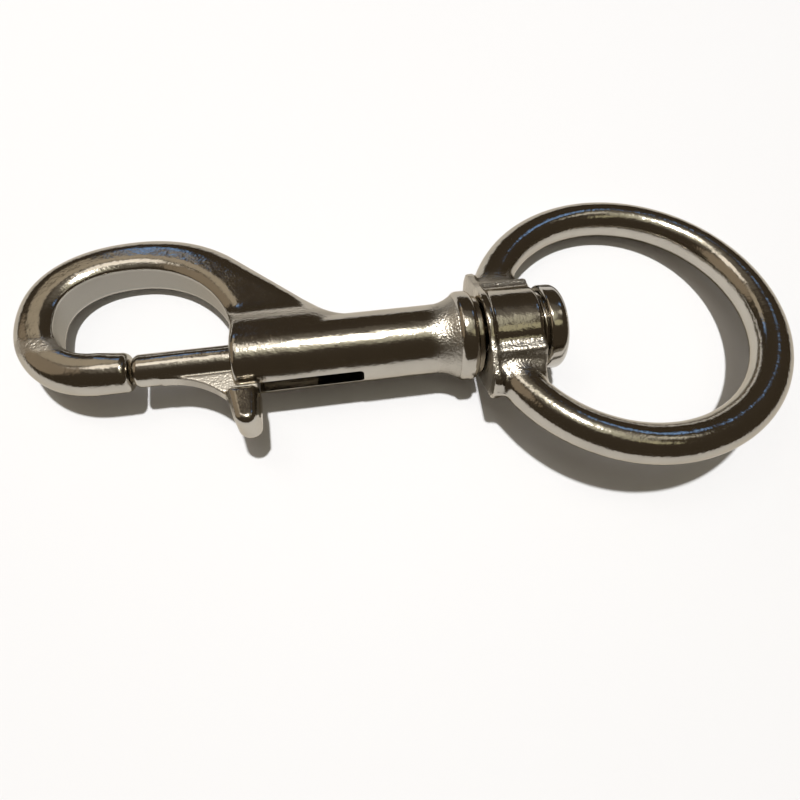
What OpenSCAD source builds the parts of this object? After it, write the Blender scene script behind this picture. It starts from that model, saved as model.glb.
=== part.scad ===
// Swivel-eye snap hook: a sprung round bolt closes the mouth of a cast hook, and a
// round eye turns on a headed stud at the other end of the barrel.
// Millimetres. +X runs along the barrel towards the eye, +Z is up from the plane in
// which the hook and the eye lie, and the origin is the centre of the eye.

/* [Eye] */
// Clear diameter inside the eye
eye_id = 39; // [35:0.5:46]
// Diameter of the eye's round section
eye_wire_d = 6; // [5:0.25:8]
// How far the hub's flat face is cut back from the eye's outer circle
hub_inset = 0.75; // [0.25:0.25:1.5]
// Width across the hub's two shoulders
shoulder_w = 13.6; // [12.4:0.2:15]
// Thickness of the shoulders
shoulder_t = 9; // [7:0.2:10]
// Width over which the ring's roots stay flat on both sides of the hub
root_w = 15.2; // [14.4:0.2:17]

/* [Hub and stud] */
// Length of the eye's hub
hub_len = 8.75; // [7.5:0.25:12]
// Diameter of the hub
hub_d = 13.6; // [12:0.2:16]
// Diameter of the round flange on the hub's flat face
flange_d = 14.4; // [13:0.2:17]
// Span of the flat face across the two roots
flange_span = 21.4; // [18:0.2:24]
// Width of the flange's blunt ends
flange_end_w = 4.4; // [3:0.2:6]
// Thickness of the flange
flange_t = 1.5; // [1:0.1:2.5]
// Diameter of the stud where the hub turns on it
stud_d = 6; // [5.6:0.1:7.5]
// Diameter of the stud's round head
head_d = 13.4; // [12.4:0.2:15]
// Length of the stud's head
head_len = 4; // [3:0.2:5.5]
// Diameter of the collar between the head and the hub
collar_d = 11.8; // [9:0.2:12.2]
// Length of the collar
collar_len = 0.5; // [0.2:0.1:0.8]
// Length of stud that is fixed in the barrel
plug_len = 8; // [5:0.5:10]
// Radial clearance between hub and stud
stud_fit = 0.05; // [0.02:0.01:0.1]
// End gap between barrel and hub, and between hub and head
end_gap = 0.25; // [0.15:0.05:0.6]

/* [Barrel] */
// Outer diameter of the barrel
barrel_d = 10.8; // [10:0.2:13]
// Length of the barrel from its front rim to its rear end
barrel_len = 37.5; // [35:0.5:45]
// Diameter of the bead at the rear end
bead_d = 14; // [13:0.2:17]
// Length of the bead
bead_len = 3; // [2:0.2:4]
// Diameter of the barrel just ahead of the bead
flare_d = 12.8; // [12:0.1:13.6]
// Length over which the barrel flares out
flare_len = 3; // [2:0.5:9]
// Diameter of the crimped lip behind the bead
lip_d = 12.2; // [11:0.2:14]
// Length of the crimped lip
lip_len = 0.8; // [0.4:0.1:1.2]
// Edge radius of the front rim
rim_r = 0.9; // [0.3:0.1:1.4]
// Width of the slot for the lever
slot_w = 2.6; // [2:0.1:3.2]
// Corner radius at the slot's closed end
slot_corner = 0.6; // [0.2:0.1:0.9]

/* [Bolt] */
// Diameter of the sliding bolt
bolt_d = 5; // [4:0.1:5.4]
// Radial clearance between bolt and barrel
bolt_fit = 0.08; // [0.03:0.01:0.1]
// Distance that the bolt can be drawn back
travel = 15.3; // [11:0.1:15.4]
// Length of bolt behind the lever
tail_len = 8.4; // [5:0.2:10]
// Gap between the closed bolt and the nose
nose_gap = 0.3; // [0.1:0.05:0.5]
// Clearance between the web and each side of the slot, and to its end
slot_gap = 0.2; // [0.1:0.05:0.4]
// Edge radius of the bolt's tip and of the nose
tip_r = 1; // [0.2:0.1:1.2]

/* [Lever] */
// Distance from the barrel's axis to the end of the thumb lever
lever_reach = 12.3; // [10.5:0.1:15]
// Length of the lever along the barrel where it meets the web
lever_l = 4.5; // [3.4:0.1:6]
// Thickness of the lever
lever_t = 6.2; // [4:0.1:8]
// Gap between the barrel and the lever
lever_gap = 0.7; // [0.4:0.1:1.5]
// How far the rear face of the lever sits behind the barrel's rim
lever_set = 3.6; // [3:0.1:6]
// Rake of the lever's front face
lever_rake = 12; // [6:1:20]
// Rounding of the lever's edges
lever_edge = 1.2; // [0.6:0.1:1.6]
// Radius of the web's concave front edge
web_r = 13; // [10:0.5:15]
// Angle through which the web's front edge turns between the bolt and the lever
web_turn = 50; // [44:1:54]

/* [Spring] */
// Outer diameter of the spring
spring_d = 3.3; // [2.6:0.1:3.6]
// Wire diameter of the spring
spring_wire = 0.5; // [0.3:0.05:0.6]
// Turns of the spring
spring_turns = 13; // [8:1:16]
// Depth of the spring's hole in the bolt
spring_pocket = 8; // [4:0.5:9]
// Radial clearance of the spring in its hole
spring_fit = 0.2; // [0.1:0.05:0.3]

/* [Hook] */
// Mouth between the nose and the barrel's rim
mouth = 15; // [15:0.05:19]
// Inside length of the hook, from the barrel's rim
throat_len = 26.8; // [25:0.2:34]
// Inside height of the hook above the barrel's axis
throat_h = 18.35; // [15:0.2:24]
// Distance from the inside end of the hook to its crown
crown_set = 11; // [9:0.5:14]
// Length of the bend that runs from the nose up to the hook's end
bend_len = 7.4; // [6:0.2:8]
// Height of the hook's widest point above the barrel's axis
waist_h = 10.2; // [8:0.2:12]
// Diameter of the round nose
nose_d = 6; // [5.4:0.1:7]
// Thickness of the arch
hook_t = 6.6; // [5.6:0.1:8]
// Width of the arch at its end
end_w = 6.5; // [5.5:0.1:8]
// Width of the arch at its crown
crown_w = 7.3; // [6:0.1:9]
// Radius of the arch's back between the crown and the web
back_r = 21.7; // [18:0.1:25]
// Slope of the web's straight back, from the barrel's axis
back_slope = 43.7; // [38:0.1:48]
// Radius of the hollow at the foot of the web's back, where it runs out on the barrel
foot_r = 6.5; // [3:0.5:9]

/* [Hidden] */

// Colours of the polished castings, the turned stud and the spring wire
BODY_COLOUR = [0.62, 0.60, 0.55];
BOLT_COLOUR = [0.68, 0.66, 0.61];
EYE_COLOUR = [0.60, 0.59, 0.56];
STUD_COLOUR = [0.66, 0.65, 0.62];
SPRING_COLOUR = [0.50, 0.50, 0.49];

ROUND = 96;      // facets of turned surfaces
SIDES = 32;      // sides of swept sections
STEPS = 5;       // points along an edge rounding
OVER = 1;        // how far cutters run past what they cut

// Eye and hub
wire_r = eye_wire_d / 2;
eye_r = eye_id / 2 + wire_r;
hub_x = hub_inset - eye_r - wire_r;
hub_end_x = hub_x + hub_len;
hub_r = hub_d / 2;
flange_r = flange_d / 2;
hub_bore_r = stud_d / 2 + stud_fit;

// Barrel, from its rear end forwards
barrel_end_x = hub_x - end_gap;
rim_x = barrel_end_x - barrel_len;
barrel_r = barrel_d / 2;
bore_r = bolt_d / 2 + bolt_fit;
lip_x = barrel_end_x - lip_len;
bead_x = lip_x - bead_len;
bead_r = bead_d / 2;
bead_edge = 1;
lip_edge = 0.3;

// Stud
plug_x = barrel_end_x - plug_len;
plug_r = bore_r - 0.02;
head_x = hub_end_x + end_gap;
head_r = head_d / 2;
head_edge = 1.5;
collar_edge = 0.5;

// Bolt, web and lever
nose_x = rim_x - mouth;
tip_x = nose_x + nose_gap;
bolt_r = bolt_d / 2;
web_t = slot_w - 2 * slot_gap;
web_rear_x = rim_x + lever_set;
tail_x = web_rear_x + tail_len;
pocket_x = tail_x - spring_pocket;
slot_end_x = web_rear_x + travel + slot_gap;
lever_y = -(barrel_r + lever_gap);
lever_front_x = web_rear_x - lever_l;

// Hook: its outlines are measured forwards from the rim, u, and up from the axis, v
nose_r = nose_d / 2;
crown_u = throat_len - crown_set;
bend_u = throat_len - bend_len;
inner_foot_v = 2.4;
back_u = crown_u - 1.3;
back_v = throat_h + crown_w;
back_waist_v = waist_h + 0.8;
straight_u = back_u - back_r * sin(back_slope);
straight_v = back_v - back_r * (1 - cos(back_slope));
foot_v = barrel_r - 0.1;
foot_top_v = foot_v + foot_r * (1 - cos(back_slope));
foot_top_u = straight_u - (straight_v - foot_top_v) / tan(back_slope);
web_end_u = foot_top_u - foot_r * sin(back_slope);
ARC_SHARE = 0.5;
FOOT_SHARE = 0.85;

function lerp(a, b, s) = a + (b - a) * s;
function ease(s) = let (t = min(max(s, 0), 1)) t * t * (3 - 2 * t);
function power(c, n) = sign(c) * pow(abs(c), 2 / n);

// A point of a quarter superellipse of squareness n
function quarter(centre, reach, n, t) =
    [centre[0] + reach[0] * power(cos(t), n), centre[1] + reach[1] * power(sin(t), n)];

// Points of an arc about a centre
function arc(centre, r, from, to, steps = STEPS) =
    [for (i = [0:steps]) centre + r * [cos(lerp(from, to, i / steps)), sin(lerp(from, to, i / steps))]];

// Edges of the hook in plan. s runs 0-1 along the nose, 1-2 round the lower bend,
// 2-3 round the upper bend, 3-4 from the crown to the web and 4-5 into the barrel.
function inner_edge(s) =
    s < 1 ? [lerp(mouth, bend_u, s), nose_r] :
    s < 2 ? quarter([bend_u, waist_h], [bend_len, waist_h - nose_r], 2.5, 90 * (s - 2)) :
    s < 3 ? quarter([crown_u, waist_h], [crown_set, throat_h - waist_h], 2.3, 90 * (s - 2)) :
    s < 4 ? quarter([crown_u, inner_foot_v], [crown_u, throat_h - inner_foot_v], 2, 90 * (s - 2)) :
    [0, lerp(inner_foot_v, 0, s - 4)];

// The hook's back in three stretches: an arc, a straight run and the hollow at its foot
function back_edge(s) =
    s < ARC_SHARE
        ? let (a = back_slope * s / ARC_SHARE)
          [back_u - back_r * sin(a), back_v - back_r * (1 - cos(a))]
        : s < FOOT_SHARE
        ? let (t = (s - ARC_SHARE) / (FOOT_SHARE - ARC_SHARE))
          [lerp(straight_u, foot_top_u, t), lerp(straight_v, foot_top_v, t)]
        : let (a = back_slope * (1 - s) / (1 - FOOT_SHARE))
          [web_end_u + foot_r * sin(a), foot_v + foot_r * (1 - cos(a))];

function outer_edge(s) =
    s < 1 ? [lerp(mouth, bend_u, s), -nose_r] :
    s < 2 ? quarter([bend_u, back_waist_v], [bend_len + end_w, back_waist_v + nose_r], 2.1,
                    90 * (s - 2)) :
    s < 3 ? quarter([back_u, back_waist_v],
                    [throat_len + end_w - back_u, back_v - back_waist_v], 2.25, 90 * (s - 2)) :
    s < 4 ? back_edge(s - 3) :
    [web_end_u, lerp(foot_v, 0, s - 4)];

// Section of the hook: round at the nose, with a flat inner wall further on, and a
// flat-sided plate at the web
function half_thickness(s) = lerp(nose_r, hook_t / 2, ease(s / 2.5));
function inner_round(s) = lerp(nose_r, 1.5, ease(s / 1.8));
function inner_square(s) = lerp(2, 5, ease(s / 1.8));
function outer_round(s) = s < 3 ? lerp(nose_r, 5, ease(s / 3)) : lerp(5, 2.6, ease(s - 3));
function outer_square(s) = lerp(2, 2.6, ease(s - 3));

// One point of the section at s. The section is drawn in by the share pull and moved
// forwards by shift, which rounds the nose's end.
function section_point(s, k, pull = 0, shift = 0) =
    let (in = inner_edge(s),
         out = outer_edge(s),
         width = norm(out - in),
         a = 360 * (k + 0.5) / SIDES,
         inside = cos(a) < 0,
         n = inside ? inner_square(s) : outer_square(s),
         r = min(inside ? inner_round(s) : outer_round(s), width / 2),
         depth = r * (1 - abs(power(cos(a), n))),
         across = lerp(inside ? depth : width - depth, width / 2, pull),
         p = in + across * (out - in) / width)
    [rim_x - p[0] - shift, p[1], (1 - pull) * half_thickness(s) * power(sin(a), n)];

function section(s, pull = 0, shift = 0) =
    [for (k = [0:SIDES - 1]) section_point(s, k, pull, shift)];

NOSE_RINGS = [for (i = [0:STEPS]) let (a = 90 * i / STEPS)
    section(0, tip_r * (1 - sin(a)) / nose_r, tip_r * (1 - cos(a)))];
HOOK_RINGS = [for (s = [0.3:0.07:4.99]) section(s)];

// A closed solid through a list of rings with the same number of points
module swept(rings) {
    last = len(rings) - 1;
    sides = len(rings[0]);
    walls = [for (i = [0:last - 1], k = [0:sides - 1])
        let (a = i * sides + k, b = i * sides + (k + 1) % sides)
        each [[a, a + sides, b], [b, a + sides, b + sides]]];
    start = [[for (k = [0:sides - 1]) k]];
    end = [[for (k = [sides - 1:-1:0]) last * sides + k]];
    polyhedron([for (ring = rings) each ring], concat(walls, start, end), convexity = 6);
}

// Puts what is drawn along Z onto the barrel's axis, starting at x
module along_x(x = 0) {
    translate([x, 0, 0]) rotate([0, 90, 0]) children();
}

// Puts what is drawn along Z onto a line along Y through x
module along_y(x) {
    translate([x, 0, 0]) rotate([90, 0, 0]) children();
}

module turned(profile) {
    along_x() rotate_extrude($fn = ROUND) polygon(profile);
}

// Barrel's outline as radius and station, from the front rim to the crimped lip
function flare(i) = let (t = i / (2 * STEPS))
    [lerp(barrel_r, flare_d / 2, t * t), bead_x - flare_len * (1 - t)];

BARREL_PROFILE = concat(
    [[0, rim_x]],
    arc([barrel_r - rim_r, rim_x + rim_r], rim_r, -90, 0),
    [for (i = [0:2 * STEPS]) flare(i)],
    arc([bead_r - bead_edge, bead_x + bead_edge], bead_edge, -90, 0),
    arc([bead_r - bead_edge, lip_x - bead_edge], bead_edge, 0, 90),
    [[lip_d / 2, lip_x]],
    arc([lip_d / 2 - lip_edge, barrel_end_x - lip_edge], lip_edge, 0, 90),
    [[0, barrel_end_x]]);

// Slot in the barrel's side, open at the rim, with small corners at its closed end
module slot() {
    half = slot_w / 2;
    corner_x = slot_end_x - slot_corner;
    start = [rim_x - OVER, -barrel_r - OVER, -half];
    translate(start) cube([corner_x - start[0], barrel_r + OVER, slot_w]);
    translate([start[0], start[1], slot_corner - half])
        cube([slot_end_x - start[0], barrel_r + OVER, slot_w - 2 * slot_corner]);
    for (side = [-1, 1])
        translate([0, 0, side * (half - slot_corner)]) along_y(corner_x)
            cylinder(h = barrel_r + OVER, r = slot_corner, $fn = SIDES);
}

module hook_body() {
    color(BODY_COLOUR) difference() {
        union() {
            turned(BARREL_PROFILE);
            swept(concat(NOSE_RINGS, HOOK_RINGS));
        }
        along_x(rim_x - OVER) cylinder(h = barrel_len + 2 * OVER, r = bore_r, $fn = ROUND);
        slot();
    }
}

BOLT_PROFILE = concat(
    [[0, tip_x]],
    arc([bolt_r - tip_r, tip_x + tip_r], tip_r, -90, 0),
    [[bolt_r, tail_x], [0, tail_x]]);

// Plan of the web: its front edge is a concave arc from the bolt to the lever
function web_plan() =
    let (centre_y = -bolt_r - web_r,
         foot_y = centre_y + web_r * cos(web_turn),
         foot_x = lever_front_x + (lever_y - foot_y) * tan(lever_rake),
         centre = [foot_x - web_r * sin(web_turn), centre_y],
         rear_x = web_rear_x - web_t / 2,
         low_y = lever_edge - lever_reach)
    concat([[rear_x, 0], [centre[0], 0]],
           arc(centre, web_r, 90, 90 - web_turn, 3 * STEPS),
           [[rear_x, low_y]]);

module web() {
    translate([0, 0, -web_t / 2]) linear_extrude(web_t) polygon(web_plan());
    along_y(web_rear_x - web_t / 2)
        cylinder(h = lever_reach - lever_edge, r = web_t / 2, $fn = ROUND);
}

// Plan of the lever, drawn in by the distance inset, with corners of radius r
function lever_plan(inset, r) =
    let (in = inset + r,
         top_y = lever_y - in,
         end_y = in - lever_reach,
         front_x = lever_front_x + in,
         rear_x = web_rear_x - in,
         rake = (top_y - end_y) * tan(lever_rake))
    concat(arc([rear_x, top_y], r, 0, 90),
           arc([front_x, top_y], r, 90, 180),
           arc([front_x + rake, end_y], r, 180, 270),
           arc([rear_x, end_y], r, 270, 360));

module lever() {
    hull() for (a = [0:30:90]) {
        inset = lever_edge * (1 - cos(a));
        high = lever_t / 2 - lever_edge * (1 - sin(a));
        translate([0, 0, -high]) linear_extrude(2 * high) polygon(lever_plan(inset, lever_edge));
    }
}

module bolt() {
    color(BOLT_COLOUR) {
        difference() {
            union() {
                turned(BOLT_PROFILE);
                web();
            }
            along_x(pocket_x)
                cylinder(h = spring_pocket + OVER, r = spring_d / 2 + spring_fit, $fn = ROUND);
        }
        lever();
    }
}

WIRE_SIDES = 8;
TURN_STEPS = 16;

module spring() {
    wire = spring_wire / 2;
    coil_r = spring_d / 2 - wire;
    seat = wire + 0.05;
    length = plug_x - pocket_x - 2 * seat;
    steps = spring_turns * TURN_STEPS;
    rings = [for (i = [0:steps]) let (a = 360 * i / TURN_STEPS)
        [for (k = [0:WIRE_SIDES - 1]) let (b = 360 * k / WIRE_SIDES, r = coil_r + wire * cos(b))
            [pocket_x + seat + length * i / steps + wire * sin(b), r * cos(a), r * sin(a)]]];
    color(SPRING_COLOUR) swept(rings);
}

STUD_PROFILE = concat(
    [[0, plug_x], [plug_r, plug_x], [plug_r, barrel_end_x], [stud_d / 2, barrel_end_x],
     [stud_d / 2, head_x], [collar_d / 2, head_x], [collar_d / 2, head_x + collar_len]],
    arc([head_r - collar_edge, head_x + collar_len + collar_edge], collar_edge, -90, 0),
    arc([head_r - head_edge, head_x + head_len - head_edge], head_edge, 0, 90),
    [[0, head_x + head_len]]);

module swivel_stud() {
    color(STUD_COLOUR) turned(STUD_PROFILE);
}

// Flat-faced flange, drawn out to a blunt end over each root of the ring
module flange() {
    y = flange_span / 2;
    z = flange_end_w / 2;
    along_x(hub_x) cylinder(h = flange_t, r = flange_r, $fn = ROUND);
    along_x(hub_x) linear_extrude(flange_t)
        polygon([[-hub_r, 0], [-z, y], [z, y], [hub_r, 0], [z, -y], [-z, -y]]);
}

// Shoulders of the hub: a block with a little draft, as long as the hub
module shoulders() {
    y = shoulder_w / 2;
    z = shoulder_t / 2;
    draft = (root_w - shoulder_w) / 2;
    along_x(hub_x) linear_extrude(hub_len)
        polygon([[-z, y], [-wire_r, y + draft], [wire_r, y + draft], [z, y],
                 [z, -y], [wire_r, -y - draft], [-wire_r, -y - draft], [-z, -y]]);
}

// Root of the ring: flat beside the shoulders, sloping down into the round section
module root(side) {
    left_x = hub_x + 0.3;
    right_x = hub_end_x - 0.15;
    foot_y = hub_r * 0.85;
    flat_y = root_w / 2;
    meet_y = sqrt(pow(eye_r - wire_r, 2) - right_x * right_x);
    crest_x = -sqrt(eye_r * eye_r - flat_y * flat_y);
    meet_x = -sqrt(eye_r * eye_r - meet_y * meet_y);
    high = wire_r - 0.1;
    hull() {
        translate([0, 0, -high]) linear_extrude(2 * high)
            polygon([for (p = [[left_x, foot_y], [right_x, foot_y], [right_x, flat_y],
                               [crest_x, flat_y + 1], [left_x, flat_y]]) [p[0], side * p[1]]]);
        translate([0, 0, -0.2]) linear_extrude(0.4)
            polygon([for (p = [[right_x, flat_y], [right_x, meet_y + 0.3], [meet_x, meet_y],
                               [crest_x, flat_y]]) [p[0], side * p[1]]]);
    }
}

// The ring's round section, cut flat where the hub's face is
module ring() {
    difference() {
        rotate_extrude($fn = ROUND) translate([eye_r, 0]) circle(r = wire_r, $fn = 48);
        translate([hub_x - eye_r, -eye_r, -eye_r]) cube([eye_r, 2 * eye_r, 2 * eye_r]);
    }
}

module swivel_eye() {
    color(EYE_COLOUR) difference() {
        union() {
            ring();
            along_x(hub_x) cylinder(h = hub_len, r = hub_r, $fn = ROUND);
            shoulders();
            flange();
            root(-1);
            root(1);
        }
        along_x(hub_x - OVER) cylinder(h = hub_len + 2 * OVER, r = hub_bore_r, $fn = ROUND);
    }
}

hook_body();
bolt();
spring();
swivel_stud();
swivel_eye();
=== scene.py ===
import math

import bmesh
import bpy
import numpy as np
from mathutils import Matrix, Vector


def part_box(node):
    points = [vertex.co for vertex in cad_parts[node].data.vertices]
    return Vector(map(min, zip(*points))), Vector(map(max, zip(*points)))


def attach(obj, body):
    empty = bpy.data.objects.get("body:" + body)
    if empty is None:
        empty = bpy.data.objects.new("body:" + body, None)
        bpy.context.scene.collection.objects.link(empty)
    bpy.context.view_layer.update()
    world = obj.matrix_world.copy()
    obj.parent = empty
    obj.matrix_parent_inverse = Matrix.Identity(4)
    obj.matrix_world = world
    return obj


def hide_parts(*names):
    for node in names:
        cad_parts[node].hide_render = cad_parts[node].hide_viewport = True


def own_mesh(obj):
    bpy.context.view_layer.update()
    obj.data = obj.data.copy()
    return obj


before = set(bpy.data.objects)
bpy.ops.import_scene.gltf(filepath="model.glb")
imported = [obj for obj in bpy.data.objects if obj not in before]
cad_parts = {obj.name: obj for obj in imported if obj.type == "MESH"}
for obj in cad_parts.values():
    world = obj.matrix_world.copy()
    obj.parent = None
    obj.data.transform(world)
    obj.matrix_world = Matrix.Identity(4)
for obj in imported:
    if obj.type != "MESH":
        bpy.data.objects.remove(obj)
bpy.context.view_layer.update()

# ---------------------------------------------------------------------------------------
# The studio: a pale table top in a dim warm room, a small strong lamp high above it, wide
# soft lamps that the polished steel reflects, and the camera. The hook lies a little on its
# side, on its hub's flange and its arch, so the table top is rolled and touches both.

MM = 0.001


def lamp(name, place, size, watts, colour):
    data = bpy.data.lights.new(name, "AREA")
    data.shape = "DISK"
    data.size = size
    data.energy = watts
    data.color = colour
    made = bpy.data.objects.new(name, data)
    made.location = place
    aim = Vector(place) - middle
    made.rotation_euler = aim.to_track_quat("Z", "Y").to_euler()
    bpy.context.scene.collection.objects.link(made)


def material(name):
    """A new empty material, and a Signal to build its nodes from."""
    made = bpy.data.materials.new(name)
    made.use_nodes = True
    made.node_tree.nodes.clear()
    return made, Signal(made.node_tree)


class Signal:
    """One output of a material's nodes. Arithmetic on it adds Math nodes."""

    MIX_FACTOR, MIX_FIRST, MIX_SECOND, MIX_RESULT = 0, 6, 7, 2

    def __init__(self, tree, socket=None):
        self.tree = tree
        self.socket = socket

    def node(self, kind, values=None, output=0, **settings):
        made = self.tree.nodes.new(kind)
        for key, value in settings.items():
            setattr(made, key, value)
        for key, value in (values or {}).items():
            if isinstance(value, Signal):
                self.tree.links.new(value.socket, made.inputs[key])
            elif made.inputs[key].type == "RGBA":
                made.inputs[key].default_value = (*value, 1)
            else:
                made.inputs[key].default_value = value
        return Signal(self.tree, made.outputs[output] if made.outputs else None)

    def maths(self, operation, *values):
        return self.node("ShaderNodeMath", dict(enumerate(values)), operation=operation)

    def __add__(self, other):
        return self.maths("ADD", self, other)

    def __radd__(self, other):
        return self.maths("ADD", other, self)

    def __rsub__(self, other):
        return self.maths("SUBTRACT", other, self)

    def __mul__(self, other):
        return self.maths("MULTIPLY", self, other)

    def __rmul__(self, other):
        return self.maths("MULTIPLY", other, self)

    def __pow__(self, other):
        return self.maths("POWER", self, other)

    def __abs__(self):
        return self.maths("ABSOLUTE", self)

    def most(self, other):
        return self.maths("MAXIMUM", self, other)

    def rise(self, low, high):
        """0 below low, 1 above high, and a smooth step between them."""
        return self.node("ShaderNodeMapRange", {"Value": self, "From Min": low, "From Max": high},
                         interpolation_type="SMOOTHSTEP")

    def mix(self, first, second):
        """first where this is 0 and second where it is 1, as colours."""
        values = {self.MIX_FACTOR: self, self.MIX_FIRST: first, self.MIX_SECOND: second}
        return self.node("ShaderNodeMix", values, self.MIX_RESULT, data_type="RGBA")

    def place(self):
        """Where a point lies on its piece, in the part's own frame."""
        return self.node("ShaderNodeTexCoord", output="Object")

    def axes(self):
        """The X, Y and Z of this vector."""
        split = self.node("ShaderNodeSeparateXYZ", {"Vector": self}).socket.node
        return [Signal(self.tree, split.outputs[axis]) for axis in "XYZ"]

    def noise(self, scale, detail):
        return self.node("ShaderNodeTexNoise", {"Vector": self, "Scale": scale, "Detail": detail})

    def attribute(self, name):
        return self.node("ShaderNodeAttribute", output="Fac", attribute_name=name)

    def surface(self, values):
        """Ends the material, with these values on its shader."""
        shader = self.node("ShaderNodeBsdfPrincipled", values)
        self.node("ShaderNodeOutputMaterial", {"Surface": shader})


TABLE_SIZE = 3.0
TABLE_COLOUR = (0.78, 0.72, 0.66)
TABLE_SEEN = (0.82, 0.832, 0.862)
ROOM_COLOUR = (0.066, 0.051, 0.034)

flange_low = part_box("swivel_eye")[0]
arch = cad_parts["hook_body"].data.vertices
far_enough = 20 * MM
table_roll = 0.185
table_low = flange_low.z * math.hypot(1, table_roll)
table_slope = min((v.co.z - table_roll * v.co.y - table_low) / (flange_low.x - v.co.x)
                  for v in arch if v.co.x < flange_low.x - far_enough)
middle = Vector((-38 * MM, 0, 0))

form = bmesh.new()
bmesh.ops.create_grid(form, x_segments=1, y_segments=1, size=TABLE_SIZE / 2)
table_up = Vector((table_slope, -table_roll, 1)).normalized()
tilt = Vector((0, 0, 1)).rotation_difference(table_up).to_matrix().to_4x4()
under_flange = Vector((flange_low.x, 0, table_low))
bmesh.ops.transform(form, matrix=Matrix.Translation(under_flange) @ tilt, verts=form.verts)
table = bpy.data.objects.new("table_top", bpy.data.meshes.new("table_top"))
form.to_mesh(table.data)
form.free()
bpy.context.scene.collection.objects.link(table)

# The camera and the reflections see the table paler than the light that it sheds.
table_paint, start = material("table_top")
camera_ray = start.node("ShaderNodeLightPath", output="Is Camera Ray")
glossy_ray = start.node("ShaderNodeLightPath", output="Is Glossy Ray")
passed_ray = start.node("ShaderNodeLightPath", output="Is Transmission Ray")
seen = camera_ray.most(glossy_ray.most(passed_ray))
start.surface({"Base Color": seen.mix(TABLE_COLOUR, TABLE_SEEN), "Roughness": 0.6,
               "Specular IOR Level": 0.2})
table.data.materials.append(table_paint)

for name, place, size, watts, colour in (
        ("key_lamp", (-0.02, -0.07, 2.0), 0.10, 38.5, (1.0, 0.985, 0.965)),
        ("over_lamp_soft", (-0.04, 0.01, 0.60), 0.22, 0.09, (1.0, 0.96, 0.86)),
        ("over_lamp_wide", (-0.01, -0.07, 0.58), 0.38, 0.16, (1.0, 1.0, 0.76)),
        ("over_lamp_edge", (-0.04, 0.0, 0.56), 0.64, 0.09, (1.0, 0.93, 0.80)),
        ("over_lamp_left", (-0.24, 0.125, 0.58), 0.21, 0.18, (1.0, 0.95, 0.88)),
        ("over_lamp_right", (0.27, 0.0, 0.56), 0.13, 0.035, (1.0, 0.97, 0.86)),
        ("over_lamp_near", (0.17, -0.26, 0.50), 0.14, 0.03, (1.0, 0.96, 0.65)),
        ("left_lamp", (-0.50, 0.06, 0.30), 0.56, 0.25, (1.0, 0.82, 0.62)),
        ("far_lamp", (-0.28, 0.33, 0.44), 0.22, 0.065, (1.0, 0.88, 0.70)),
        ("cool_lamp", (0.25, 0.19, 0.43), 0.09, 0.025, (0.25, 0.5, 1.0)),
        ("cool_lamp_far", (-0.21, 0.43, 0.34), 0.07, 0.018, (0.25, 0.5, 1.0))):
    lamp(name, place, size, watts, colour)

world = bpy.data.worlds.new("room")
world.use_nodes = True
world.node_tree.nodes.clear()
start = Signal(world.node_tree)
room = start.node("ShaderNodeBackground", {"Color": ROOM_COLOUR})
start.node("ShaderNodeOutputWorld", {"Surface": room})
bpy.context.scene.world = world

azimuth = math.radians(-10.75)
elevation = math.radians(57.57)
roll = math.radians(2.53)
camera_distance = 90.15 * MM
camera_target = Vector((-37.98, -5.37, 0)) * MM
back = Vector((math.sin(azimuth) * math.cos(elevation),
               -math.cos(azimuth) * math.cos(elevation), math.sin(elevation)))
level = Vector((0, 0, 1)).cross(back).normalized()
upright = back.cross(level)
right = level * math.cos(roll) + upright * math.sin(roll)
up = upright * math.cos(roll) - level * math.sin(roll)
camera = bpy.data.objects.new("camera", bpy.data.cameras.new("camera"))
camera.data.sensor_width = 36
camera.data.lens = 26.86
camera.data.shift_y = -0.035
camera.data.clip_start = 5 * MM
turned = Matrix((right, up, back)).transposed().to_4x4()
camera.matrix_world = Matrix.Translation(camera_target + back * camera_distance) @ turned
bpy.context.scene.collection.objects.link(camera)
bpy.context.scene.camera = camera
bpy.context.scene.view_settings.view_transform = "Standard"

# ---------------------------------------------------------------------------------------
# The hook body is one investment casting of stainless steel: a round-nosed hook whose arch
# widens into a flat web, and a barrel that the web flows into. Its inner wall is ground to a
# satin and painted darker, a painted darker reflection; its rounds and its bead are polished,
# and the hollows keep the grain of the casting.

rim_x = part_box("bolt")[0].x + 14.7 * MM
barrel_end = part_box("hook_body")[1].x
barrel_r = 5.4 * MM
bore_r = 2.58 * MM
flare_r = 6.4 * MM
flare_len = 3 * MM
bead_r = 7 * MM
bead_len = 3 * MM
bead_edge = 1 * MM
lip_r = 6.1 * MM
lip_len = 0.8 * MM
lip_edge = 0.3 * MM
rim_r = 0.9 * MM
slot_w = 2.6 * MM
slot_len = 19.1 * MM
slot_corner = 0.6 * MM

mouth = 15 * MM
nose_r = 3 * MM
nose_edge = 1 * MM
nose_top = 8 * MM
throat_len = 26.8 * MM
throat_h = 18.35 * MM
crown_set = 11 * MM
bend_len = 7.4 * MM
waist_h = 10.2 * MM
arch_half = 3.3 * MM
end_w = 6.47 * MM
crown_w = 7.26 * MM
back_r = 21.7 * MM
back_slope = math.radians(43.7)
foot_r = 6.5 * MM

# How square the rounds of the two outlines are: 2 is an ellipse.
bend_square = 2.5
crown_square = 2.3
back_bend_square = 2.1
back_crown_square = 2.25

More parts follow.
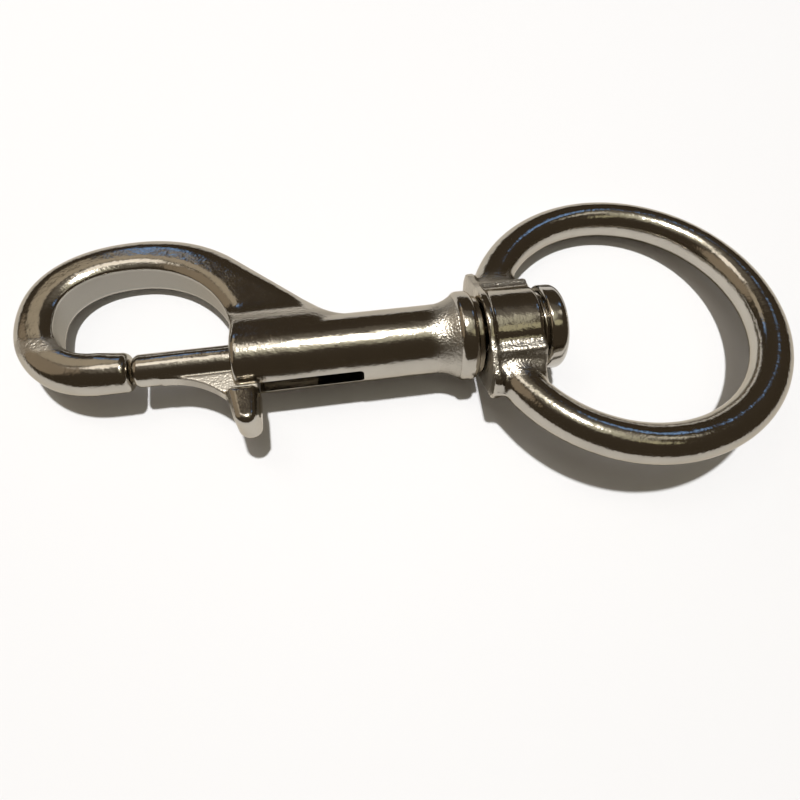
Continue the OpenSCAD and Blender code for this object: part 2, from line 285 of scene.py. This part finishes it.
crown_u = throat_len - crown_set
bend_u = throat_len - bend_len
throat_foot = 2.4 * MM
back_u = crown_u - 1.3 * MM
back_v = throat_h + crown_w
back_waist = waist_h + 0.8 * MM
straight_u = back_u - back_r * math.sin(back_slope)
straight_v = back_v - back_r * (1 - math.cos(back_slope))
foot_v = barrel_r - 0.1 * MM
foot_top_v = foot_v + foot_r * (1 - math.cos(back_slope))
foot_top_u = straight_u - (straight_v - foot_top_v) / math.tan(back_slope)
web_end_u = foot_top_u - foot_r * math.sin(back_slope)

# The back's last stretch is an arc, a straight slope and the foot's arc, in these shares.
arc_share = 0.5
slope_share = 0.35
foot_share = 0.15


def lerp(a, b, t):
    return a + (b - a) * t


def ease(t):
    t = np.clip(t, 0, 1)
    return t * t * (3 - 2 * t)


def quarter(centre, reach, square, degrees):
    """A point of a superellipse's quarter; a square of 2 makes it an ellipse."""
    turn = math.radians(degrees)
    corner = []
    for middle_of, length, share in zip(centre, reach, (math.cos(turn), math.sin(turn))):
        corner.append(middle_of + length * math.copysign(abs(share) ** (2 / square), share))
    return corner


def inner_edge(s):
    """The throat's outline, forwards from the rim and up from the axis. s runs 0-1 along the
    nose, 1-2 round the lower bend, 2-3 round the upper one and 3-4 down to the rim."""
    turn = 90 * (s - 2)
    if s < 1:
        return [lerp(mouth, bend_u, s), nose_r]
    if s < 2:
        return quarter([bend_u, waist_h], [bend_len, waist_h - nose_r], bend_square, turn)
    if s < 3:
        return quarter([crown_u, waist_h], [crown_set, throat_h - waist_h], crown_square, turn)
    return quarter([crown_u, throat_foot], [crown_u, throat_h - throat_foot], 2, turn)


def outer_edge(s):
    """The outline of the hook's back. s runs as it does along the throat."""
    if s < 1:
        return [lerp(mouth, bend_u, s), -nose_r]
    if s < 2:
        reach = [bend_len + end_w, back_waist + nose_r]
        return quarter([bend_u, back_waist], reach, back_bend_square, 90 * (s - 2))
    if s < 3:
        reach = [throat_len + end_w - back_u, back_v - back_waist]
        return quarter([back_u, back_waist], reach, back_crown_square, 90 * (s - 2))
    if s < 3 + arc_share:
        turn = back_slope * (s - 3) / arc_share
        return [back_u - back_r * math.sin(turn), back_v - back_r * (1 - math.cos(turn))]
    if s < 4 - foot_share:
        share = (s - (3 + arc_share)) / slope_share
        return [lerp(straight_u, foot_top_u, share), lerp(straight_v, foot_top_v, share)]
    turn = back_slope * (4 - s) / foot_share
    return [web_end_u + foot_r * math.sin(turn), foot_v + foot_r * (1 - math.cos(turn))]


def edge_line(edge, first, last):
    """An edge as points, each with its s, run on past both its ends."""
    last_s, count = 3.999, 281
    stations = np.linspace(0, last_s, count)
    line = np.vstack([first, [edge(s) for s in stations], last])
    return line, np.concatenate([[0], stations, np.full(len(last), 4)])


def inside(line, stations, plan):
    """How far each plan point lies to the left of the line, and at which s. The nearest
    stretch of the line is found from every eighth of its points."""
    start, step = line[:-1], np.diff(line, axis=0)
    every = 8
    at_once = 4000
    around = np.arange(-every, every + 1)
    depth, place = [], []
    for part in np.array_split(plan, len(plan) // at_once + 1):
        coarse = ((part[:, None] - line[::every]) ** 2).sum(2).argmin(1) * every
        spans = np.clip(coarse[:, None] + around, 0, len(step) - 1)
        to, along = part[:, None] - start[spans], step[spans]
        share = np.clip((to * along).sum(2) / (along ** 2).sum(2), 0, 1)
        gap = to - share[..., None] * along
        near = (gap ** 2).sum(2).argmin(1)
        rows = np.arange(len(part))
        gap, share, along, span = (v[rows, near] for v in (gap, share, along, spans))
        side = np.sign(along[:, 0] * gap[:, 1] - along[:, 1] * gap[:, 0])
        depth.append(side * np.hypot(gap[:, 0], gap[:, 1]))
        place.append(lerp(stations[span], stations[span + 1], share))
    return np.concatenate(depth), np.concatenate(place)


def joined(a, b, reach):
    """Union of two forms, with a hollow of about that reach where they meet."""
    share = np.clip(0.5 + 0.5 * (b - a) / reach, 0, 1)
    return lerp(b, a, share) - reach * share * (1 - share)


def kept(a, b, edge):
    """What two forms share, with its edges rounded."""
    corner = np.hypot(np.maximum(a + edge, 0), np.maximum(b + edge, 0))
    return np.minimum(np.maximum(a, b), -edge) + corner


def points_of(piece):
    co = np.empty(len(piece.data.vertices) * 3)
    piece.data.vertices.foreach_get("co", co)
    return co.reshape(-1, 3)


def settle(piece, surface_of, rounds):
    """Draws the vertices of a mesh onto the surface of a form."""
    at = points_of(piece)
    probe = 0.01 * MM
    longest = 0.4 * MM
    least_steep = 0.1
    for _ in range(rounds):
        away = surface_of(at)
        slope = np.stack([(surface_of(at + probe * axis) - away) / probe for axis in np.eye(3)], 1)
        steep = np.maximum((slope ** 2).sum(1), least_steep)
        move = away[:, None] * slope / steep[:, None]
        length = np.linalg.norm(move, axis=1)[:, None]
        at = at - move * np.minimum(1, longest / np.maximum(length, 1e-9))
    piece.data.vertices.foreach_set("co", at.ravel())
    piece.data.update()


def finished(piece):
    """Applies the modifiers of a piece."""
    view = bpy.context.evaluated_depsgraph_get()
    mesh = bpy.data.meshes.new_from_object(piece.evaluated_get(view))
    piece.modifiers.clear()
    piece.data = mesh


def remeshed(piece, voxel):
    modifier = piece.modifiers.new("remesh", "REMESH")
    modifier.mode = "VOXEL"
    modifier.voxel_size = voxel
    finished(piece)


def new_piece(name, form):
    mesh = bpy.data.meshes.new(name)
    bmesh.ops.recalc_face_normals(form, faces=form.faces)
    form.to_mesh(mesh)
    form.free()
    piece = bpy.data.objects.new(name, mesh)
    bpy.context.scene.collection.objects.link(piece)
    return piece


def cast(name, rough, surface_of, voxel):
    """A casting: a rough form made into a fine even mesh and drawn onto its true surface."""
    first_voxel = 1.6 * voxel
    piece = new_piece(name, rough)
    remeshed(piece, first_voxel)
    settle(piece, surface_of, rounds=4)
    remeshed(piece, voxel)
    settle(piece, surface_of, rounds=3)
    return piece


def cut(piece, tool, operation):
    """Cuts a tool's form out of a piece, or adds it, and throws the tool away."""
    modifier = piece.modifiers.new("cut", "BOOLEAN")
    modifier.operation = operation
    modifier.solver = "MANIFOLD"
    modifier.object = tool
    finished(piece)
    bpy.data.objects.remove(tool)


def rod(form, low, high, radius, sides=96):
    """Adds a straight cylinder along the barrel's axis to a form."""
    place = Matrix.Translation((lerp(low, high, 0.5), 0, 0)) @ Matrix.Rotation(math.pi / 2, 4, "Y")
    bmesh.ops.create_cone(form, cap_ends=True, segments=sides, radius1=radius, radius2=radius,
                          depth=high - low, matrix=place)


def slab(form, corners, drawn):
    """Adds a slab to a form: a face over its corners, drawn out along a vector."""
    face = form.faces.new([form.verts.new(corner) for corner in corners])
    grown = bmesh.ops.extrude_face_region(form, geom=[face])["geom"]
    bmesh.ops.translate(form, vec=drawn,
                        verts=[v for v in grown if isinstance(v, bmesh.types.BMVert)])


def spun(name, profile, sides=128):
    """A turned piece: a profile of radius and station, spun about the barrel's axis."""
    form = bmesh.new()
    line = [form.verts.new((x, 0, r)) for r, x in profile]
    edges = [form.edges.new(pair) for pair in zip(line, line[1:])]
    bmesh.ops.spin(form, geom=line + edges, cent=(0, 0, 0), axis=(1, 0, 0), dvec=(0, 0, 0),
                   angle=math.tau, steps=sides, use_merge=True)
    bmesh.ops.remove_doubles(form, verts=form.verts, dist=1e-7)
    return new_piece(name, form)


def arc(centre_r, centre_x, radius, first, last, steps=8):
    """Points of an arc of a profile; at 0 degrees it faces outwards, at 90 to the rear."""
    turns = [math.radians(lerp(first, last, i / steps)) for i in range(steps + 1)]
    return [(centre_r + radius * math.cos(t), centre_x + radius * math.sin(t)) for t in turns]


def mark(piece, name, values):
    """Stores a value for each vertex of a piece, for its material to read."""
    piece.data.attributes.new(name, "FLOAT", "POINT").data.foreach_set("value", values)


def polished(piece, finish, sharp=35):
    """Gives a piece its finish and smooth shading that breaks at its sharp edges."""
    piece.data.materials.clear()
    piece.data.materials.append(finish)
    form = bmesh.new()
    form.from_mesh(piece.data)
    speck = 0.001 * MM
    bmesh.ops.remove_doubles(form, verts=form.verts, dist=speck)
    bmesh.ops.dissolve_degenerate(form, edges=form.edges, dist=speck)
    for face in form.faces:
        face.smooth = True
        face.material_index = 0
    for edge in form.edges:
        if len(edge.link_faces) == 2:
            edge.smooth = edge.calc_face_angle(0) < math.radians(sharp)
    form.to_mesh(piece.data)
    form.free()


run_on = 5 * MM
run_down = -20 * MM
inner_line = edge_line(inner_edge, [mouth - run_on, nose_r], [[0, 0], [0, run_down]])
outer_line = edge_line(outer_edge, [mouth - run_on, -nose_r],
                       [[web_end_u, 0], [web_end_u, run_down]])
bead_x = barrel_end - lip_len - bead_len
spare = 1 * MM

# Rounding of the plate's two edges: along the throat, over the back and along the web, where
# it is squarer. The throat's round stops short, and leaves a corner at its flat wall.
throat_edge = 3.6 * MM
throat_trim = 0.35
back_edge = 5 * MM
web_edge = 2.6 * MM
web_square = 2.6
least_edge = 0.5 * MM

# The s by which the nose's section has gone over into the arch's: its thickness, its round
# along the throat and its round over the back.
thick_by = 2.5
throat_by = 1.8
back_by = 3

# The hollow between web and barrel, by height and by distance ahead of the web's end, and
# the edge at the throat's wall, which is round at the rim and sharper up the web.
hollow_low, hollow_rise, hollow_run = -1.5 * MM, 6 * MM, 7 * MM
hollow_least, hollow_most = 0.3 * MM, 4 * MM
wall_edge = 0.18 * MM
wall_low, wall_rise = 3 * MM, 4 * MM
plate_lowers = 5 * MM
barrel_stops = 4 * MM
FAR_OFF = 0.1


def barrel_form(at):
    share = np.clip((at[:, 0] - bead_x) / flare_len + 1, 0, 1)
    return np.hypot(at[:, 1], at[:, 2]) - lerp(barrel_r, flare_r, share ** 2)


def plate_form(at):
    """The hook and its web, with how far each point lies inside the throat's wall."""
    plan = np.stack([rim_x - at[:, 0], at[:, 1]], 1)
    deep_in, s_in = inside(*inner_line, plan)
    deep_out, s_out = inside(*outer_line, plan)
    deep_in = -deep_in
    half = lerp(nose_r, arch_half, ease((s_in + s_out) / 2 / thick_by))
    most = np.maximum((deep_in + deep_out) / 2, least_edge)
    off_nose, on_web = ease(s_in / throat_by), ease(s_out - 3)
    in_r = np.minimum(lerp(nose_r, throat_edge, off_nose), most)
    trimmed = throat_trim * in_r * off_nose
    out_r = lerp(lerp(nose_r, back_edge, ease(s_out / back_by)), web_edge, on_web)
    out_r = np.minimum(out_r, most)
    square = lerp(2, web_square, on_web)
    high = np.abs(at[:, 2]) / half
    from_in = np.maximum(1 - (deep_in + trimmed) / in_r, 0)
    from_out = np.maximum(1 - deep_out / out_r, 0)
    inner = half * (np.sqrt(from_in ** 2 + high ** 2) - 1)
    outer = half * ((from_out ** square + high ** square) ** (1 / square) - 1)
    return np.maximum(inner, outer), deep_in


def hook_form(at):
    plate, deep_in = plate_form(at)
    forward, y = rim_x - at[:, 0], at[:, 1]
    plate = np.where(forward < plate_lowers, np.maximum(plate, -y), plate)
    barrel = np.where(forward > barrel_stops, FAR_OFF, barrel_form(at))
    hollow = ease((y - hollow_low) / hollow_rise) * ease((forward - web_end_u) / hollow_run)
    body = joined(plate, barrel, lerp(hollow_least, hollow_most, hollow))
    body = kept(body, -deep_in, lerp(rim_r, wall_edge, ease((y - wall_low) / wall_rise)))
    at_nose = (forward > plate_lowers) & (y < nose_top)
    body = np.where(at_nose, kept(body, mouth - forward, nose_edge), body)
    return np.maximum(body, at[:, 0] - bead_x - spare)


rough = bmesh.new()
outline = [outer_edge(s) for s in np.arange(0, 4, 0.1)] + [[web_end_u, 0], [0, 0]]
outline += [inner_edge(s) for s in np.arange(3.9, -0.05, -0.1)]
slab(rough, [(rim_x - u, v, -nose_r) for u, v in outline], (0, 0, 2 * nose_r))
rod(rough, rim_x, bead_x + spare, barrel_r)
hook = cast("hook_casting", rough, hook_form, voxel=0.22 * MM)

lip_x = barrel_end - lip_len
bead_profile = ([(0, bead_x)] + arc(bead_r - bead_edge, bead_x + bead_edge, bead_edge, -90, 0)
                + arc(bead_r - bead_edge, lip_x - bead_edge, bead_edge, 0, 90)
                + [(lip_r, lip_x)]
                + arc(lip_r - lip_edge, barrel_end - lip_edge, lip_edge, 0, 90)
                + [(0, barrel_end)])
cut(hook, spun("bead", bead_profile), "UNION")
drill = bmesh.new()
rod(drill, rim_x - spare, barrel_end + spare, bore_r)
cut(hook, new_piece("drill", drill), "DIFFERENCE")
mill = bmesh.new()
mill_deep = 8 * MM
bmesh.ops.create_cube(mill, size=1,
                      matrix=Matrix.Diagonal((slot_len + spare, mill_deep, slot_w, 1)))
bmesh.ops.translate(mill, vec=(rim_x + slot_len / 2 - spare / 2, -mill_deep / 2, 0),
                    verts=mill.verts)
ends = [e for e in mill.edges if all(v.co.x > rim_x + slot_len / 2 for v in e.verts)
        and abs(e.verts[0].co.y - e.verts[1].co.y) > spare]
bmesh.ops.bevel(mill, geom=ends, offset=slot_corner, segments=6, profile=0.5, material=-1,
                affect="EDGES")
cut(hook, new_piece("mill", mill), "DIFFERENCE")

at = points_of(hook)
plate, deep_in = plate_form(at)
grain_above = 2 * MM
grain_reach = 1.6 * MM
from_fillet = np.maximum(np.abs(plate), np.abs(barrel_form(at)))
above_axis = ease(at[:, 1] / grain_above - 1)
mark(hook, "hollow", ease(1.2 - from_fillet / grain_reach) * above_axis)
# The throat's ground inner wall: rougher for its satin, and painted darker as a painted darker
# reflection.
ground_deep = 0.15 * MM
ground_half, ground_fade = 2.4 * MM, 0.5 * MM
ahead_of_rim = at[:, 0] < rim_x - 0.1 * MM
on_wall = ease(2 - np.abs(deep_in) / ground_deep) * ahead_of_rim
mark(hook, "ground_and_shade", on_wall * ease((ground_half - np.abs(at[:, 2])) / ground_fade))

# Size of each unevenness, in turns per metre, and its share of the surface's height.
SWAY_SCALE, SWAY_HIGH = 160, 0.40
RIPPLE_SCALE, RIPPLE_HIGH = 700, 0.09
SPECK_SCALE, SPECK_HIGH, GRAIN_HIGH = 2700, 0.055, 0.27
CLOUD_SCALE, CLOUD_DARK, CLOUD_ROUGH = 260, 0.93, 0.05
# The ground wall's painted shade (a painted darker reflection) and its added satin roughness.
GROUND_PAINTED_SHADE, GROUND_ROUGH = 0.68, 0.22
EDGE_TINT = (0.75, 0.70, 0.62)


def darker(colour, share):
    return tuple(share * c for c in colour)


def steel(name, colour, rough_low, rough_high, grain_of):
    """Polished cast stainless steel, with the grain of the casting where grain_of says."""
    made, start = material(name)
    place = start.place()
    grainy = grain_of(place)
    cloud = place.noise(CLOUD_SCALE, 3)
    speck = place.noise(SPECK_SCALE, 2)
    sway = place.noise(SWAY_SCALE, 1)
    ripple = place.noise(RIPPLE_SCALE, 1)
    ground_and_shade = place.attribute("ground_and_shade")
    tint = cloud.rise(0.35, 0.7).mix(colour, darker(colour, CLOUD_DARK))
    # Painted darker reflection: the ground wall's colour is darkened here; the roughness added
    # below is its satin.
    tint = ground_and_shade.mix(tint, darker(colour, GROUND_PAINTED_SHADE))
    roughness = (rough_low + (rough_high - rough_low) * grainy + CLOUD_ROUGH * cloud
                 + GROUND_ROUGH * ground_and_shade)
    height = (sway * SWAY_HIGH + ripple * RIPPLE_HIGH
              + speck * (SPECK_HIGH + GRAIN_HIGH * grainy))
    bump = start.node("ShaderNodeBump", {"Distance": 0.4 * MM, "Height": height})
    start.surface({"Base Color": tint, "Metallic": 1.0, "Roughness": roughness, "Normal": bump,
                   "Specular Tint": EDGE_TINT})
    return made


def hook_grain(place):
    """Grain in the hollow between web and barrel, and where the barrel flares out."""
    x = place.axes()[0]
    grows, full, stops = bead_x - 5 * MM, bead_x - 1.5 * MM, bead_x + 0.2 * MM
    at_flare = x.rise(grows, full) * (1 - x.rise(bead_x, stops))
    return place.attribute("hollow").most(at_flare)


polished(hook, steel("body_steel", (0.46, 0.425, 0.365), 0.11, 0.36, hook_grain))
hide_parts("hook_body")
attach(hook, "body")

# ---------------------------------------------------------------------------------------
# The bolt is a second casting: a round rod that slides in the barrel and closes the mouth,
# a thin web that comes out through the slot, and a thumb lever across the web's end. Its
# tail is drilled for the spring. The rod and lever are polished, the web is as cast.

bolt_low, bolt_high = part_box("bolt")
rod_r = 2.5 * MM
tip_edge = 1 * MM
tail_edge = 0.2 * MM
web_half = 1.1 * MM
web_side_edge = 0.35 * MM
web_root = -1 * MM
web_fillet = 0.4 * MM
web_curve_r = 13 * MM
web_turn = math.radians(50)
lever_rake = math.radians(12)
lever_len = 4.5 * MM
lever_half = bolt_high.z
lever_top = -6.1 * MM
lever_edge = 1.25 * MM
lever_end_edge = 1.5 * MM
lever_top_edge = 0.9 * MM
lever_fillet = 0.7 * MM
lever_back = rim_x + 3.6 * MM
lever_front = lever_back - lever_len
pocket_r = 1.85 * MM
pocket_len = 8 * MM
curve_y = -rod_r - web_curve_r
curve_foot = curve_y + web_curve_r * math.cos(web_turn)
curve_x = (lever_front + (lever_top - curve_foot) * math.tan(lever_rake)
           - web_curve_r * math.sin(web_turn))


def bolt_form(at):
    x, y, high = at[:, 0], at[:, 1], np.abs(at[:, 2])
    shaft = kept(np.hypot(y, at[:, 2]) - rod_r, bolt_low.x - x, tip_edge)
    shaft = kept(shaft, x - bolt_high.x, tail_edge)
    curve = web_curve_r - np.hypot(x - curve_x, y - curve_y)
    curve = np.where(y < curve_y, curve_x + web_curve_r - x, curve)
    curve = np.maximum(curve, curve_x - x)
    web = kept(high - web_half, np.maximum(curve, x - lever_back), web_side_edge)
    web = np.maximum(web, np.maximum(y - web_root, bolt_low.y + lever_edge - y))
    front = (lever_front - x) * math.cos(lever_rake) + (lever_top - y) * math.sin(lever_rake)
    lever = kept(x - lever_back, front, lever_edge)
    lever = kept(lever, bolt_low.y - y, lever_end_edge)
    lever = kept(lever, y - lever_top, lever_top_edge)
    lever = kept(lever, high - lever_half, lever_edge)
    return joined(joined(shaft, web, web_fillet), lever, lever_fillet)


rough = bmesh.new()
rod(rough, bolt_low.x, bolt_high.x, rod_r, sides=48)
front_end = lever_front + (lever_top - bolt_low.y) * math.tan(lever_rake)
turns = [web_turn * i / 12 for i in range(13)]
web_plan = [(lever_back, 0), (curve_x, 0)]
web_plan += [(curve_x + web_curve_r * math.sin(t), curve_y + web_curve_r * math.cos(t))
             for t in turns]
web_plan += [(front_end + spare, bolt_low.y + spare), (lever_back, bolt_low.y + spare)]
lever_plan = [(lever_back, lever_top), (lever_front, lever_top), (front_end, bolt_low.y),
              (lever_back, bolt_low.y)]
for plan, high in ((web_plan, web_half), (lever_plan, lever_half)):
    slab(rough, [(x, y, -high) for x, y in plan], (0, 0, 2 * high))
bolt = cast("bolt_casting", rough, bolt_form, voxel=0.13 * MM)
drill = bmesh.new()
rod(drill, bolt_high.x - pocket_len, bolt_high.x + spare, pocket_r, sides=64)
cut(bolt, new_piece("drill", drill), "DIFFERENCE")


def bolt_grain(place):
    """Grain on the flat of the web, between rod and lever."""
    deep = -1 * place.axes()[1]
    below_rod = deep.rise(rod_r, rod_r + 0.5 * MM)
    above_lever = 1 - deep.rise(-lever_top - 0.6 * MM, -lever_top)
    return below_rod * above_lever


polished(bolt, steel("bolt_steel", (0.49, 0.455, 0.395), 0.12, 0.46, bolt_grain))
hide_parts("bolt")
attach(bolt, "bolt")

# ---------------------------------------------------------------------------------------
# The spring is a plain coil of hard-drawn wire. It sits in the bolt's tail and pushes on
# the stud's end, and shows only through the slot. Drawing the bolt back squashes the real
# spring; here the coil is fixed to the body and keeps its shape.

spring_low, spring_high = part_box("spring")
wire_r = 0.25 * MM
coil_r = spring_high.y - wire_r
coils = 13
coil_steps = 24
form = bmesh.new()
bmesh.ops.create_circle(form, cap_ends=True, segments=10, radius=wire_r, matrix=(
    Matrix.Translation((spring_low.x + wire_r, 0, coil_r)) @ Matrix.Rotation(math.pi / 2, 4, "X")))
pitch = (spring_high.x - spring_low.x - 2 * wire_r) / coils
bmesh.ops.spin(form, geom=form.verts[:] + form.edges[:] + form.faces[:], cent=(0, 0, 0),
               axis=(1, 0, 0), dvec=(pitch / coil_steps, 0, 0), angle=coils * math.tau,
               steps=coils * coil_steps)
spring = new_piece("spring_coil", form)


def wire_steel(name, colour):
    """Hard-drawn wire: smooth, a little darker, with a fine unevenness."""
    made, start = material(name)
    lines = start.place().noise(1800, 2)
    bump = start.node("ShaderNodeBump", {"Distance": 0.05 * MM, "Height": lines * 0.4})
    start.surface({"Base Color": lines.mix(colour, darker(colour, 0.7)), "Metallic": 1.0,
                   "Roughness": 0.22 + 0.15 * lines, "Normal": bump})
    return made


polished(spring, wire_steel("spring_wire", (0.40, 0.39, 0.37)), sharp=60)
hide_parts("spring")
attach(spring, "body")
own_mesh(spring)

# ---------------------------------------------------------------------------------------
# The stud is turned from bar. Its plain end is fixed in the barrel's rear, and its polished
# round head keeps the hub on, which turns on the shank between them.

stud_low, stud_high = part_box("swivel_stud")
plug_r = bore_r - 0.02 * MM
shank_r = 3 * MM
head_r = 6.7 * MM
collar_r = 5.9 * MM
head_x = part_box("swivel_eye")[0].x + 9 * MM
collar_end = head_x + 0.55 * MM
collar_front, collar_rear = 0.25 * MM, 0.2 * MM
groove_r = 5.6 * MM
groove_len = 0.12 * MM
head_front = 0.5 * MM
head_edge = 1.4 * MM
head_turn = 82
button_r = 4.6 * MM
button_high = 0.18 * MM
face_x = stud_high.x - button_high
stud_profile = (
    [(0, stud_low.x), (plug_r, stud_low.x), (plug_r, barrel_end),
     (shank_r, barrel_end), (shank_r, head_x)]
    + arc(collar_r - collar_front, head_x + collar_front, collar_front, -90, 0, 4)
    + arc(collar_r - collar_rear, collar_end - collar_rear, collar_rear, 0, 90, 4)
    + [(groove_r, collar_end), (groove_r, collar_end + groove_len)]
    + arc(head_r - head_front, collar_end + groove_len + head_front, head_front, -90, 0, 6)
    + arc(head_r - head_edge, face_x - head_edge, head_edge, 0, head_turn, 10)
    + arc(button_r - button_high, face_x, button_high, 0, 90, 4)
    + [(0, stud_high.x)])
stud = spun("stud_turned", stud_profile)


def turned_steel(name, colour):
    """Turned and polished bar, with faint rings from the tool about its own axis."""
    made, start = material(name)
    place = start.place()
    x, y, z = place.axes()
    radius = (y * y + z * z) ** 0.5
    rings = start.node("ShaderNodeTexNoise", {"W": radius + x, "Scale": 5200, "Detail": 2},
                       noise_dimensions="1D")
    height = rings * 0.004 + place.noise(200, 1) * 0.04
    bump = start.node("ShaderNodeBump", {"Distance": 0.4 * MM, "Height": height})
    start.surface({"Base Color": rings.mix(colour, darker(colour, 0.94)), "Metallic": 1.0,
                   "Roughness": 0.09 + 0.06 * rings, "Normal": bump})
    return made


polished(stud, turned_steel("stud_steel", (0.48, 0.445, 0.385)), sharp=30)
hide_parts("swivel_stud")
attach(stud, "body")

# ---------------------------------------------------------------------------------------
# The eye is one casting too: a round ring whose two ends thicken into the hub. The hub has
# a flat face with a thin flange towards the barrel, and a hollow runs between its boss and
# each root of the ring. It is polished, apart from those hollows.

eye_low, eye_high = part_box("swivel_eye")
ring_wire = 3 * MM
ring_r = eye_high.x - ring_wire
hub_x = eye_low.x
hub_end = hub_x + 8.75 * MM
hub_r = 6.8 * MM
hub_bore = 3.05 * MM
face_edge = 0.2 * MM
boss_edge = 0.7 * MM
flange_r = 7.18 * MM
flange_thick = 1.1 * MM
flange_reach = 10.7 * MM
flange_blunt = 2.2 * MM
flange_edge = 0.3 * MM
flange_end_edge = 0.5 * MM
flange_fillet, flange_end_fillet = 0.5 * MM, 1.8 * MM
flange_end_y, flange_end_run = 8 * MM, 1.5 * MM
shoulder_y = 6.8 * MM
shoulder_z = 4.5 * MM
shoulder_lean = 0.3
shoulder_edge = 0.5 * MM
shoulder_fillet = 0.6 * MM
root_left = hub_x - 3 * MM
root_right = hub_end - 0.15 * MM
root_half = 2.9 * MM
root_flat = 7.6 * MM
root_lean = 0.85
root_edge = 0.6 * MM
root_round = 0.8 * MM
root_fillet = 1.2 * MM
hub_fillet = 1.0 * MM


def flange_outline(across, high):
    """A round flange drawn out to a blunt end over each root of the ring."""
    end = math.hypot(flange_reach, flange_blunt)
    lean = math.atan2(flange_blunt, flange_reach) + math.acos(flange_r / end)
    straight = across * math.cos(lean) + high * math.sin(lean) - flange_r
    round_part = np.hypot(across, high) - flange_r
    sheared = np.where(np.arctan2(high, across) > lean, round_part, straight)
    return kept(sheared, across - flange_reach, flange_end_edge)


def eye_form(at):
    x, across, high = at[:, 0], np.abs(at[:, 1]), np.abs(at[:, 2])
    ring = np.hypot(np.hypot(x, across) - ring_r, high) - ring_wire
    boss = kept(np.hypot(across, high) - hub_r, x - hub_end, boss_edge)
    wall = across - shoulder_y + shoulder_lean * (high - shoulder_z)
    wall = wall / math.hypot(1, shoulder_lean)
    shoulder = kept(wall, high - shoulder_z, shoulder_edge)
    shoulder = kept(shoulder, x - hub_end, shoulder_edge)
    down = (high - root_half + root_lean * (across - root_flat)) / math.hypot(1, root_lean)
    root = kept(np.maximum(x - root_right, root_left - x), high - root_half, root_edge)
    root = kept(root, down, root_round)
    hub = joined(boss, shoulder, shoulder_fillet)
    body = joined(joined(ring, root, root_fillet), hub, hub_fillet)
    flange = kept(flange_outline(across, high), x - hub_x - flange_thick, flange_edge)
    at_end = ease((across - flange_end_y) / flange_end_run)
    body = joined(body, flange, lerp(flange_fillet, flange_end_fillet, at_end))
    return kept(body, hub_x - x, face_edge)


rough = bmesh.new()
bmesh.ops.create_circle(rough, cap_ends=True, segments=24, radius=ring_wire, matrix=(
    Matrix.Translation((ring_r, 0, 0)) @ Matrix.Rotation(math.pi / 2, 4, "X")))
bmesh.ops.delete(rough, geom=rough.faces[:], context="FACES_ONLY")
bmesh.ops.spin(rough, geom=rough.verts[:] + rough.edges[:], cent=(0, 0, 0), axis=(0, 0, 1),
               dvec=(0, 0, 0), angle=math.tau, steps=120, use_merge=True)
rod(rough, hub_x, hub_end, hub_r, sides=64)
for half_y, half_z, end in ((shoulder_y, shoulder_z, hub_end),
                            (flange_reach, flange_blunt, root_right)):
    bmesh.ops.create_cube(rough, size=1, matrix=Matrix.Translation((lerp(hub_x, end, 0.5), 0, 0))
                          @ Matrix.Diagonal((end - hub_x, 2 * half_y, 2 * half_z, 1)))
rod(rough, hub_x, hub_x + flange_thick, flange_r, sides=64)
sheared_y, sheared_z = 0.5 * flange_r, 0.87 * flange_r
flange_plan = [(sheared_y, sheared_z), (flange_reach, flange_blunt),
               (flange_reach, -flange_blunt), (sheared_y, -sheared_z),
               (-sheared_y, -sheared_z), (-flange_reach, -flange_blunt),
               (-flange_reach, flange_blunt), (-sheared_y, sheared_z)]
slab(rough, [(hub_x, y, z) for y, z in flange_plan], (flange_thick, 0, 0))
eye = cast("eye_casting", rough, eye_form, voxel=0.22 * MM)
drill = bmesh.new()
rod(drill, hub_x - spare, hub_end + spare, hub_bore)
cut(eye, new_piece("drill", drill), "DIFFERENCE")


def eye_grain(place):
    """Grain in the hollows between the boss and the ring's roots."""
    x, y, _ = place.axes()
    across = abs(y)
    in_hollow = across.rise(4.5 * MM, 6 * MM) * (1 - across.rise(8 * MM, 11 * MM))
    return in_hollow * (1 - x.rise(hub_end - 0.5 * MM, hub_end + 1 * MM))


polished(eye, steel("eye_steel", (0.46, 0.425, 0.365), 0.10, 0.32, eye_grain))
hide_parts("swivel_eye")
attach(eye, "eye")
